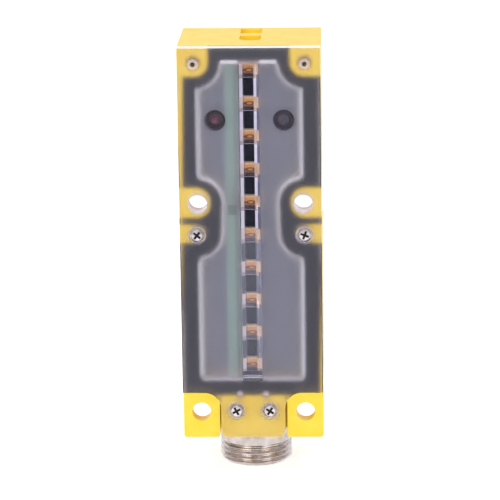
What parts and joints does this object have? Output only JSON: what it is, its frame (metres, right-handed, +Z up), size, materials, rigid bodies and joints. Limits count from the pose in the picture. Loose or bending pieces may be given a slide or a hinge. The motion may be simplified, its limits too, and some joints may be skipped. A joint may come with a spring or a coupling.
{
  "type": "multi-beam light curtain",
  "caption": "Moulded safety light curtain head with a clear sealed front cover, a row of stacked beam elements, indicator windows, mounting lugs and a threaded round connector.",
  "frame": {"origin": "centre of the four mounting holes, on the rear face of the mounting flange", "axes": "+X across the front, +Z up along the beam row, -Y out of the clear cover along the beams, +Y to the back"},
  "size_m": [0.0428, 0.033, 0.1338],
  "materials": {
    "housing_yellow": "satin moulded thermoplastic, saturated yellow",
    "cover_clear": "clear polycarbonate, matt face with polished windows",
    "gasket_black": "matt black rubber",
    "lens_clear": "clear polished plastic",
    "element_amber": "amber tan epoxy",
    "rail_black": "matt black moulded plastic",
    "panel_grey": "matt blue-grey moulded plastic",
    "led_red": "tinted red epoxy",
    "led_dark": "smoked epoxy",
    "board_green": "green solder mask on glass-fibre board",
    "screw_steel": "nickel-plated steel",
    "chip_black": "moulded chip package",
    "can_aluminium": "drawn aluminium can",
    "header_white": "natural nylon",
    "shell_nickel": "nickel-plated brass, machined",
    "insert_black": "moulded black plastic",
    "contact_gold": "gold-plated brass",
    "seal_black": "matt black rubber",
    "wire_mixed": "insulated wire"
  },
  "bodies": {
    "root": {"rear_housing": "housing_yellow", "front_cover": "cover_clear", "cover_gasket": "gasket_black", "lens_strip": "lens_clear", "element_rail": "rail_black", "optics_panel": "panel_grey", "indicator_led": "led_red", "second_indicator": "led_dark", "indicator_holders": "rail_black", "main_board": "board_green", "board_screws": "screw_steel", "cover_screws": "screw_steel", "window_chip": "chip_black", "controller_chip": "chip_black", "capacitors": "can_aluminium", "lead_header": "header_white", "connector_shell": "shell_nickel", "connector_insert": "insert_black", "connector_contacts": "contact_gold", "connector_seal": "seal_black", "lead_wires": "wire_mixed", "beam_element_01": "element_amber", "beam_element_02": "element_amber", "beam_element_03": "element_amber", "beam_element_04": "element_amber", "beam_element_05": "element_amber", "beam_element_06": "element_amber", "beam_element_07": "element_amber", "beam_element_08": "element_amber", "beam_element_09": "element_amber", "beam_element_10": "element_amber"}
  },
  "joints": []
}
